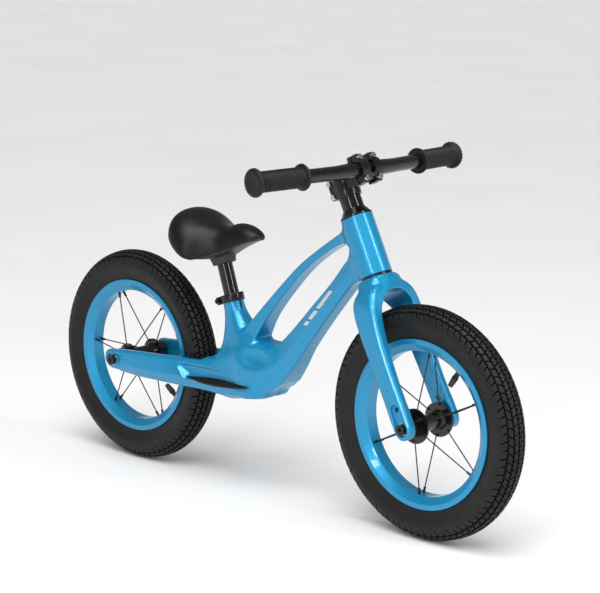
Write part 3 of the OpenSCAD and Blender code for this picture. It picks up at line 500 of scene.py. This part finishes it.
def fork_distance(p):
    """The cast fork; the right leg mirrors the left."""
    x, y, z = p[:, 0], np.abs(p[:, 1]), p[:, 2]
    (centre, w, dep), off, over = follow(x, z, FORK_LEG)
    leg = rounded_bar(y - centre, off, np.maximum(over - 4, 0), w, dep, 5.0)
    up, ahead, radius = about_axis(x, y, z, (FRONT_X, WHEEL_R), STEER_TILT)
    # Facets that run down the leg, front and rear
    facet = (y - centre - w) * 0.86 + (np.abs(off) - dep) * 0.51 + 3.2
    leg = smooth_max(leg, facet, 1.2)
    # The rounded end about the axle
    end = np.hypot(ahead, np.minimum(up, 0)) - LEG_END_R
    leg = smooth_max(leg, np.where(up < 10, end, -20.0), 1.5)
    crown = smooth_max(radius - HEAD_R, np.abs(up - CROWN_MID) - (CROWN_TOP - CROWN_MID), 1.0)
    yoke = ellipsoid((up - 203, 29), (ahead, 25), (y, 44))
    body = smooth_min(smooth_min(leg, yoke, 18), crown, 12)
    body = smooth_max(body, up - CROWN_TOP, 0.8)
    # Arch over the tyre
    from_axle = np.hypot(x - FRONT_X, z - WHEEL_R)
    body = carve(body, smooth_max(from_axle - FRONT_ROOM_R, y - FRONT_ROOM_HALF, 14), 4)
    round_top = np.hypot(y, np.maximum(up - 176, 0) * 1.06) - FRONT_ROOM_HALF
    body = carve(body, smooth_max(round_top, 150 - up, 6), 3)
    # Tapered recess round the axle bolt and the accessory hole
    reach = np.clip(up, 0, LEG_HOLE_UP)
    recess = np.hypot(up - reach, ahead) - (10 - reach * 0.065)
    body = carve(body, smooth_max(recess, LEG_RECESS_Y - y, 1), 1.5)
    body = carve(body, np.hypot(up - LEG_HOLE_UP, ahead) - LEG_HOLE_R, 0.6)
    return carve(body, from_axle - AXLE_HOLE_R, 0.5)


# ---- Meshes from distance fields ----

FAR = 1e3  # stands for the distance where it isn't worked out
CHUNK = 400000  # points worked out at a time
CAST_STEP = 2.0


def gradient(distance, p, h=0.2):
    """Slope of a distance field at points, by central differences."""
    out = np.empty_like(p)
    for axis in range(3):
        shift = np.zeros(3)
        shift[axis] = h
        out[:, axis] = (distance(p + shift) - distance(p - shift)) / (2 * h)
    return out


def step_to(distance, p, level=0.0):
    """The move that brings points to a level of a distance field, by one Newton step."""
    d, g = distance(p), gradient(distance, p)
    return (level - d)[:, None] * g / np.maximum((g**2).sum(1), 0.25)[:, None]


def lattice(*ranges):
    """Every whole-numbered point of a box, in rows."""
    return np.stack(np.meshgrid(*ranges, indexing="ij"), -1).reshape(-1, 3)


def sample(distance, low, step, count, block):
    """A distance field on a grid, exact near the surface and only signed elsewhere."""
    values = np.full(count * block + 1, FAR)
    blocks = lattice(*[np.arange(n) for n in count])
    rough = distance(low + (blocks + 0.5) * block * step)
    reach = block * step * 0.9 + 9
    for c in blocks[rough < -reach]:
        a, b = c * block, c * block + block + 1
        values[a[0] : b[0], a[1] : b[1], a[2] : b[2]] = -FAR
    active = blocks[np.abs(rough) <= reach]
    local = lattice(*[np.arange(block + 1)] * 3)
    index = (active[:, None, :] * block + local[None]).reshape(-1, 3)
    for part in np.array_split(index, max(1, len(index) // CHUNK)):
        values[part[:, 0], part[:, 1], part[:, 2]] = distance(low + part * step)
    return values


def skin(distance, low, high, step, block=8):
    """Closed quad mesh of a distance field's surface, by surface nets.

    Returns its points, its faces and the normals at its points.
    """
    low = np.array(low, float)
    count = np.ceil((np.array(high) - low) / (step * block)).astype(int)
    values = sample(distance, low, step, count, block)
    inside = values < 0
    # A point in each cell that the surface crosses, at the mean of its edges' crossings
    corner = [(i, j, k) for i in (0, 1) for j in (0, 1) for k in (0, 1)]
    cells = tuple(count * block)
    filled = np.zeros(cells, np.int8)
    for i, j, k in corner:
        filled += inside[i : i + cells[0], j : j + cells[1], k : k + cells[2]]
    cell = np.argwhere((filled > 0) & (filled < 8))
    number = np.full(cells, -1)
    number[tuple(cell.T)] = np.arange(len(cell))
    at = {c: values[cell[:, 0] + c[0], cell[:, 1] + c[1], cell[:, 2] + c[2]] for c in corner}
    total, weight = np.zeros((len(cell), 3)), np.zeros(len(cell))
    for a in corner:
        for axis in range(3):
            if a[axis]:
                continue
            b = tuple(v + (n == axis) for n, v in enumerate(a))
            cross = (at[a] < 0) != (at[b] < 0)
            t = np.where(cross, at[a] / np.where(cross, at[a] - at[b], 1), 0)
            spot = np.array(a, float)[None] + t[:, None] * np.eye(3)[axis]
            total += spot * cross[:, None]
            weight += cross
    points = low + (cell + total / weight[:, None]) * step
    for _ in range(2):
        points = points + np.clip(step_to(distance, points), -0.6 * step, 0.6 * step)
    # A quad round each grid edge that the surface crosses
    faces = []
    for axis in range(3):
        u, v = (axis + 1) % 3, (axis + 2) % 3
        first = [slice(None)] * 3
        second = [slice(None)] * 3
        first[axis], second[axis] = slice(0, -1), slice(1, None)
        edge = np.argwhere(inside[tuple(first)] != inside[tuple(second)])
        for side in (u, v):
            edge = edge[(edge[:, side] > 0) & (edge[:, side] < cells[side])]
        ring = []
        for du, dv in ((1, 1), (0, 1), (0, 0), (1, 0)):
            c = edge.copy()
            c[:, u] -= du
            c[:, v] -= dv
            ring.append(number[tuple(c.T)])
        quad = np.stack(ring, 1)
        outward = inside[tuple(edge.T)]
        quad[~outward] = quad[~outward][:, ::-1]
        faces.append(quad)
    g = gradient(distance, points)
    normals = g / np.maximum(np.linalg.norm(g, axis=1), 1e-6)[:, None]
    return points, np.concatenate(faces), normals


def casting(name, distance, low, high, body, node):
    """A painted casting, from its distance field within the box from low to high."""
    points, faces, normals = skin(distance, low, high, CAST_STEP)
    piece = make_piece(name, points, faces.tolist(), paint, body, normals)
    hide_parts(node)


casting("frame_casting", frame_distance, (-352, -76, 150), (250, 76, 500), "frame", "frame")
casting("fork_casting", fork_distance, (196, -70, 156), (352, 70, 412), "steering", "fork")


# ---- Tyres ----

TYRE_HALF = 25.0
TYRE_MID = WHEEL_R - TYRE_HALF
TYRE_WALL = 3.4
BEAD_R, BEAD_HALF = 125.6, 16.0
CROWN_SINK = 0.35  # how far the blocks lie inside the CAD tyre
HALF_ARC = 48.5  # reach of the outer skin from the crown, along the surface
RIB_AT = 39.0
PITCHES = 84
PITCH_LEN = 2 * math.pi * WHEEL_R / PITCHES
GROOVE_DEPTH = 1.7
GROOVE_SHADE_DEPTH = 0.55  # faces sunk deeper than this take the darker groove material, painted shade in the grooves
ROUND_STEPS = 1260
ARC_STEPS = 82
ROW_EDGES = (5.0, 14.0, 23.0)
# Rows of blocks from the crown outwards: inner edge, outer edge, shift in pitches, slant
BLOCK_ROWS = (
    (-1.0, ROW_EDGES[0], 0.0, 0.0),
    (ROW_EDGES[0], ROW_EDGES[1], 0.5, 0.55),
    (ROW_EDGES[1], ROW_EDGES[2], 0.1, -0.45),
)
SPIKE_ENDS = (35.5, 31.5)


def tread_depth(turn, arc):
    """How far the tread lies below its blocks.

    turn counts pitches round the tyre, and arc is the distance from the crown along the surface.
    """
    side = np.abs(arc)
    phase = turn + np.where(arc < 0, 0.5, 0.0)
    groove = np.full(arc.shape, 9.0)
    zigzag = 1.3 * np.abs(((phase * 2) % 1) * 2 - 1) - 0.65
    for edge in ROW_EDGES:
        groove = np.minimum(groove, np.abs(side - edge - zigzag))
    for start, end, shift, slant in BLOCK_ROWS:
        t = (phase + shift + slant * (side - start) / PITCH_LEN) % 1.0
        cross = np.abs(t - 0.5) * PITCH_LEN
        in_row = (side >= start) & (side < end)
        groove = np.where(in_row, np.minimum(groove, cross), groove)
    # Spikes that run out on to the shoulder, long and short by turns
    t = (phase + 0.35 + 0.5 * (side - ROW_EDGES[2]) / PITCH_LEN) % 1.0
    cross = np.abs(t - 0.5) * PITCH_LEN
    spike_end = np.where((np.floor(phase) % 2) == 0, *SPIKE_ENDS)
    in_spike = (side >= ROW_EDGES[2]) & (side < spike_end)
    groove = np.where(in_spike, np.minimum(groove, cross), groove)
    # Full depth within 0.6 mm of a groove's middle, and none beyond 1.2 mm
    share = 1.0 - np.clip((groove - 0.6) / 0.6, 0, 1)
    fade = np.clip((36.5 - side) / 4.0, 0, 1)
    return GROOVE_DEPTH * share * share * (3 - 2 * share) * fade


def tyre(name, body, axle_x, node):
    """A tyre with its tread cut in, swept round the axle."""
    arc = np.linspace(-HALF_ARC, HALF_ARC, ARC_STEPS + 1)
    turn = np.arange(ROUND_STEPS) / ROUND_STEPS
    sink = tread_depth(*np.meshgrid(turn * PITCHES, arc, indexing="ij"))
    # A fine rib marks the edge of the tread
    rib = 0.35 * np.exp(-(((np.abs(arc) - RIB_AT) / 0.9) ** 2))
    skin_r = TYRE_HALF - sink + rib[None] - CROWN_SINK
    angle = arc / TYRE_HALF
    # The section goes on round the left bead, the inside and the right bead
    left = [(131.6, BEAD_HALF), (BEAD_R, BEAD_HALF), (BEAD_R, BEAD_HALF - 3.2), (137.0, 17.5)]
    inner = TYRE_HALF - TYRE_WALL
    lining = [
        (TYRE_MID + inner * math.cos(a), inner * math.sin(a)) for a in np.linspace(1.75, -1.75, 13)
    ]
    section = left + lining + [(r, -y) for r, y in reversed(left)]
    n, rows = len(arc), len(arc) + len(section)
    r = np.empty((ROUND_STEPS, rows))
    y = np.empty((ROUND_STEPS, rows))
    r[:, :n] = TYRE_MID + skin_r * np.cos(angle)
    y[:, :n] = skin_r * np.sin(angle)
    r[:, n:], y[:, n:] = np.array(section).T
    theta = turn[:, None] * 2 * math.pi
    points = np.stack([axle_x + r * np.cos(theta), y, WHEEL_R + r * np.sin(theta)], -1)
    i = np.arange(ROUND_STEPS)[:, None] * rows
    i2 = ((np.arange(ROUND_STEPS) + 1) % ROUND_STEPS)[:, None] * rows
    j = np.arange(rows)[None]
    j2 = (j + 1) % rows
    faces = np.stack([i + j, i + j2, i2 + j2, i2 + j], -1).reshape(-1, 4)
    points = points.reshape(-1, 3)
    piece = make_piece(name, points, faces.tolist(), tyre_rubber, body)
    # Faces deep in the grooves take the darker material, which paints shade into them
    piece.data.materials.append(painted_groove_shade)
    depth = np.zeros((ROUND_STEPS, rows))
    depth[:, :n] = sink
    shaded_in_groove = depth.reshape(-1)[faces].mean(1) > GROOVE_SHADE_DEPTH
    piece.data.polygons.foreach_set("material_index", shaded_in_groove.astype(np.int32))
    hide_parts(node)


tyre("front_tyre_treaded", "front_wheel", FRONT_X, "front_tyre")
tyre("rear_tyre_treaded", "rear_wheel", REAR_X, "rear_tyre")


# ---- Grips ----


def turned(name, profile, place, material, body, segments=72, teeth=None):
    """Closed turned shape from rows of (along, radius) about the local Y axis.

    place is its matrix, and teeth = (count, depth, first, last) notches those rows.
    """
    rows = len(profile)
    points = []
    for k in range(segments):
        a = 2 * math.pi * k / segments
        for n, (along, radius) in enumerate(profile):
            if teeth and teeth[2] <= n <= teeth[3]:
                radius -= teeth[1] * (0.5 + 0.5 * math.cos(a * teeth[0]))
            points.append(place @ Vector((radius * math.cos(a), along, radius * math.sin(a))))
    first, last = len(points), len(points) + 1
    points += [place @ Vector((0, profile[0][0], 0)), place @ Vector((0, profile[-1][0], 0))]
    starts = [(k * rows, (k + 1) % segments * rows) for k in range(segments)]
    faces = []
    for a, b in starts:
        faces += [(a + n, a + n + 1, b + n + 1, b + n) for n in range(rows - 1)]
    for a, b in starts:
        faces += [(first, a, b), (last, b + rows - 1, a + rows - 1)]
    return make_piece(name, [tuple(p) for p in points], faces, material, body)


BAR_X, BAR_Z = steer_at(394.0, 47.0)
BEND_Y, BAR_HALF, GRIP_LEN, BAR_INSET = 62.0, 223.0, 98.0, 4
# Rows of (along, radius) for the inner flange, one rib's share of its pitch and height, and the end
GRIP_FLANGE = [(0, 11.3), (0, 18.5), (0.6, 20.0), (1.6, 20.5)]
GRIP_FLANGE += [(3.0, 20.3), (4.2, 19.0), (4.8, 16.0), (5.6, 14.6)]
GRIP_RIB = ((0.04, 0.0), (0.1, 1.5), (0.2, 1.9), (0.4, 2.1), (0.6, 1.9), (0.7, 1.5), (0.76, 0.0))
GRIP_END = [(87.5, 14.6), (89.0, 17.0), (90.2, 20.5), (91.5, 21.7), (93.5, 22.0), (95.5, 21.6)]
GRIP_END += [(96.8, 20.2), (97.4, 18.0), (97.7, 12.0), (97.2, 10.5), (97.2, 4.0)]
GRIP_RIBS, RIBS_START, RIBS_LEN, GRIP_CORE_R = 17, 6.5, 80.0, 13.9
END_TEETH, TOOTH_DEPTH = 26, 1.3


def grip(name, side, node):
    """A ribbed grip with a flange at each end; side is 1 for the left and -1 for the right."""
    profile = list(GRIP_FLANGE)
    for k in range(GRIP_RIBS):
        base = RIBS_START + k * RIBS_LEN / GRIP_RIBS
        for share, height in GRIP_RIB:
            profile.append((base + share * RIBS_LEN / GRIP_RIBS, GRIP_CORE_R + height))
    profile += GRIP_END
    rings = len(profile)
    place = Matrix.Diagonal((1, side, 1, 1)) @ Matrix.Translation((BAR_X, BEND_Y, BAR_Z))
    place = place @ Matrix.Rotation(BAR_SWEEP, 4, "Z")
    place = place @ Matrix.Translation((0, BAR_HALF - BEND_Y + BAR_INSET - GRIP_LEN, 0))
    teeth = (END_TEETH, TOOTH_DEPTH, rings - 10, rings - 5)
    piece = turned(
        name, profile, place, soft_rubber, "steering", 4 * END_TEETH, teeth
    )
    if side < 0:
        piece.data.flip_normals()
    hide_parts(node)


grip("left_grip_ribbed", 1, "left_grip")
grip("right_grip_ribbed", -1, "right_grip")


# ---- Saddle ----

SADDLE_FOOT = seat_at(53.0, 0)
SADDLE_LEN, SADDLE_H, SADDLE_HALF, SADDLE_BACK = 176.0, 84.0, 68.0, -89.0
BASE_LEAN, BASE_X, BASE_Z = math.radians(21.5), -28, 7  # the base's upper face, from the foot
SADDLE_CORNER = 2 / 2.15  # power that squares the section's corners a little
SADDLE_ROWS = curve_through(
    [  # shares of the length, the half width, and the height of top, widest level and underside
        (0.0, 0.34, 0.85, 0.71, 0.60),
        (0.03, 0.64, 0.95, 0.63, 0.45),
        (0.10, 0.88, 1.01, 0.49, 0.30),
        (0.22, 1.0, 0.98, 0.31, 0.14),
        (0.34, 0.97, 0.87, 0.16, 0.06),
        (0.46, 0.70, 0.78, 0.15, 0.06),
        (0.58, 0.46, 0.76, 0.25, 0.16),
        (0.72, 0.38, 0.84, 0.40, 0.32),
        (0.84, 0.35, 0.83, 0.50, 0.44),
        (0.94, 0.25, 0.75, 0.57, 0.53),
        (0.99, 0.11, 0.67, 0.59, 0.56),
    ],
    6,
)


def saddle():
    """The padded cushion, from upright rings of points along its length."""
    around = 64
    points = []
    for share, wide, top, edge, low in SADDLE_ROWS:
        for k in range(around):
            a = 2 * math.pi * k / around
            c, s = math.cos(a), math.sin(a)
            side = math.copysign(abs(c) ** SADDLE_CORNER, c) * wide * SADDLE_HALF
            lift = (top - edge) if s > 0 else (edge - low)
            z = edge * SADDLE_H + math.copysign(abs(s) ** SADDLE_CORNER, s) * lift * SADDLE_H
            # The sides pull in under the widest level of the rear lobes
            if s < 0:
                side *= 1 - 0.10 * (-s) * wide
            x = SADDLE_BACK + share * SADDLE_LEN
            base_z = BASE_Z + (x - BASE_X) * math.tan(BASE_LEAN)
            points.append((SADDLE_FOOT[0] + x, side, SADDLE_FOOT[1] + max(z, base_z)))
    rows = len(SADDLE_ROWS)
    faces = []
    for r in range(rows - 1):
        a, b = r * around, (r + 1) * around
        for k in range(around):
            k2 = (k + 1) % around
            faces.append((a + k, b + k, b + k2, a + k2))
    for r, flip in ((0, False), (rows - 1, True)):
        ring = points[r * around : (r + 1) * around]
        mid = tuple(sum(v) / around for v in zip(*ring))
        bulge = -1.2 if r == 0 else 1.2
        points.append((mid[0] + bulge, 0.0, mid[2]))
        m = len(points) - 1
        for k in range(around):
            a, b = r * around + k, r * around + (k + 1) % around
            faces.append((m, b, a) if flip else (m, a, b))
    piece = make_piece("saddle_cushion", points, faces, saddle_skin, "seat")
    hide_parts("saddle_pad")


saddle()


SOCKET_PROFILE = [(-1, 13.2), (-1, 19.5), (-0.6, 21), (0.6, 22), (5, 22.6)]
SOCKET_PROFILE += [(11, 25), (18, 29.5), (24, 34.5), (27, 36), (27, 13.2)]


def saddle_socket():
    """Flared socket between the seat post and the saddle's base, narrower across the bike."""
    s, c = math.sin(SEAT_TILT), math.cos(SEAT_TILT)
    place = Matrix(((c, -s, 0, 0), (0, 0, -0.8, 0), (s, c, 0, 0), (0, 0, 0, 1)))
    place.translation = (SADDLE_FOOT[0], 0, SADDLE_FOOT[1])
    turned("saddle_socket", SOCKET_PROFILE, place, black_plastic, "seat")


saddle_socket()


# ---- Plain stripes on the down tube ----

STRIPE_ORIGIN = np.array([166.0, 388.0])
STRIPE_ALONG, STRIPE_ACROSS = np.array([-0.65, -0.76]), np.array([-0.76, 0.65])
STRIPE_WIDTH, STRIPE_LEAN, STRIPE_LIFT = 7.0, 0.9, 0.12
STRIPE_SPANS = ((34, 42), (82, 20), (108, 9))  # start and length, down from the head tube
STRIPE_FROM_Y = 19.0  # where its points start before they move on to the flank
STRIPE_ROWS, STRIPE_COLUMNS = 14, 6


def stripe(name, side, start, length):
    """A slanted bar laid on the flank of the down tube."""
    points = []
    for i in range(STRIPE_ROWS + 1):
        for j in range(STRIPE_COLUMNS + 1):
            u = start + length * i / STRIPE_ROWS
            v = -1.0 + STRIPE_WIDTH * j / STRIPE_COLUMNS
            x, z = STRIPE_ORIGIN + STRIPE_ALONG * (u + STRIPE_LEAN * v) + STRIPE_ACROSS * v
            points.append((x, side * STRIPE_FROM_Y, z))
    points = np.array(points)
    for _ in range(4):
        points += step_to(frame_distance, points, STRIPE_LIFT)
    faces = []
    for i in range(STRIPE_ROWS):
        for j in range(STRIPE_COLUMNS):
            a = i * (STRIPE_COLUMNS + 1) + j
            quad = (a, a + 1, a + STRIPE_COLUMNS + 2, a + STRIPE_COLUMNS + 1)
            faces.append(quad if side < 0 else quad[::-1])
    make_piece(name, points, faces, graphic_grey, "frame")


for side, label in ((1, "left"), (-1, "right")):
    for k, (start, length) in enumerate(STRIPE_SPANS):
        stripe(f"{label}_stripe_{k + 1}", side, start, length)


# ---- Stage ----

bpy.ops.mesh.primitive_plane_add(size=60)
floor = bpy.context.object
floor.name = "floor"
floor.data.materials.append(surface("floor_paper", 0.80, 0.83, (0.7, 0.8), grain=2.0))

world = bpy.data.worlds.new("studio")
world.use_nodes = True
sky_tree = world.node_tree
height = sky_tree.nodes.new("ShaderNodeSeparateXYZ")
direction = sky_tree.nodes.new("ShaderNodeTexCoord").outputs["Generated"]
sky_tree.links.new(direction, height.inputs["Vector"])
sky_colour = ramp(sky_tree, height.outputs["Z"], 0.85, 0.24, 0.03, 0.3)
sky_tree.links.new(sky_colour, sky_tree.nodes["Background"].inputs["Color"])
bpy.context.scene.world = world


def hang(light, place, aim):
    """Puts a light in the scene, at a place and turned to a point."""
    lamp = bpy.data.objects.new(light.name, light)
    bpy.context.scene.collection.objects.link(lamp)
    lamp.location = place
    lamp.rotation_mode = "QUATERNION"
    lamp.rotation_quaternion = (Vector(aim) - Vector(place)).to_track_quat("-Z", "Y")


def softbox(name, place, aim, size, power):
    """A rectangular lamp, with its size in metres and its power in watts."""
    light = bpy.data.lights.new(name, "AREA")
    light.shape = "RECTANGLE"
    light.size, light.size_y = size
    light.energy = power
    hang(light, place, aim)


softbox("overhead", (0.3, -0.6, 2.6), (0, 0, 0.3), (2.0, 1.4), 18)
softbox("front_strip", (2.2, 0.4, 1.2), (0.2, 0, 0.35), (0.25, 1.6), 20)
softbox("side_strip", (0.9, -2.4, 1.3), (0.1, 0, 0.3), (0.2, 1.8), 18)
sky = bpy.data.lights.new("sky", "SUN")
sky.energy = 2.5
sky.angle = math.radians(50)
hang(sky, (0, 0, 0), (-0.35, 0.45, -1.0))

AZIMUTH, ELEVATION, ROLL = math.radians(43.97), math.radians(11.54), math.radians(0.33)
TARGET, DISTANCE = Vector((0.0564, 0.0, 0.3381)), 3.252
SENSOR_WIDTH, LENS = 36.0, 122.8
level = math.cos(ELEVATION)
back = Vector((math.sin(AZIMUTH) * level, -math.cos(AZIMUTH) * level, math.sin(ELEVATION)))
right = Vector((math.cos(AZIMUTH), math.sin(AZIMUTH), 0))
rolled = right * math.cos(ROLL) + back.cross(right) * math.sin(ROLL)
camera = bpy.data.objects.new("camera", bpy.data.cameras.new("camera"))
bpy.context.scene.collection.objects.link(camera)
camera.data.sensor_width = SENSOR_WIDTH
camera.data.lens = LENS
camera.rotation_mode = "QUATERNION"
facing = Matrix((rolled, back.cross(rolled), back)).transposed()
camera.rotation_quaternion = facing.to_quaternion()
camera.location = TARGET + back * DISTANCE
bpy.context.scene.camera = camera
bpy.context.scene.view_settings.view_transform = "Standard"
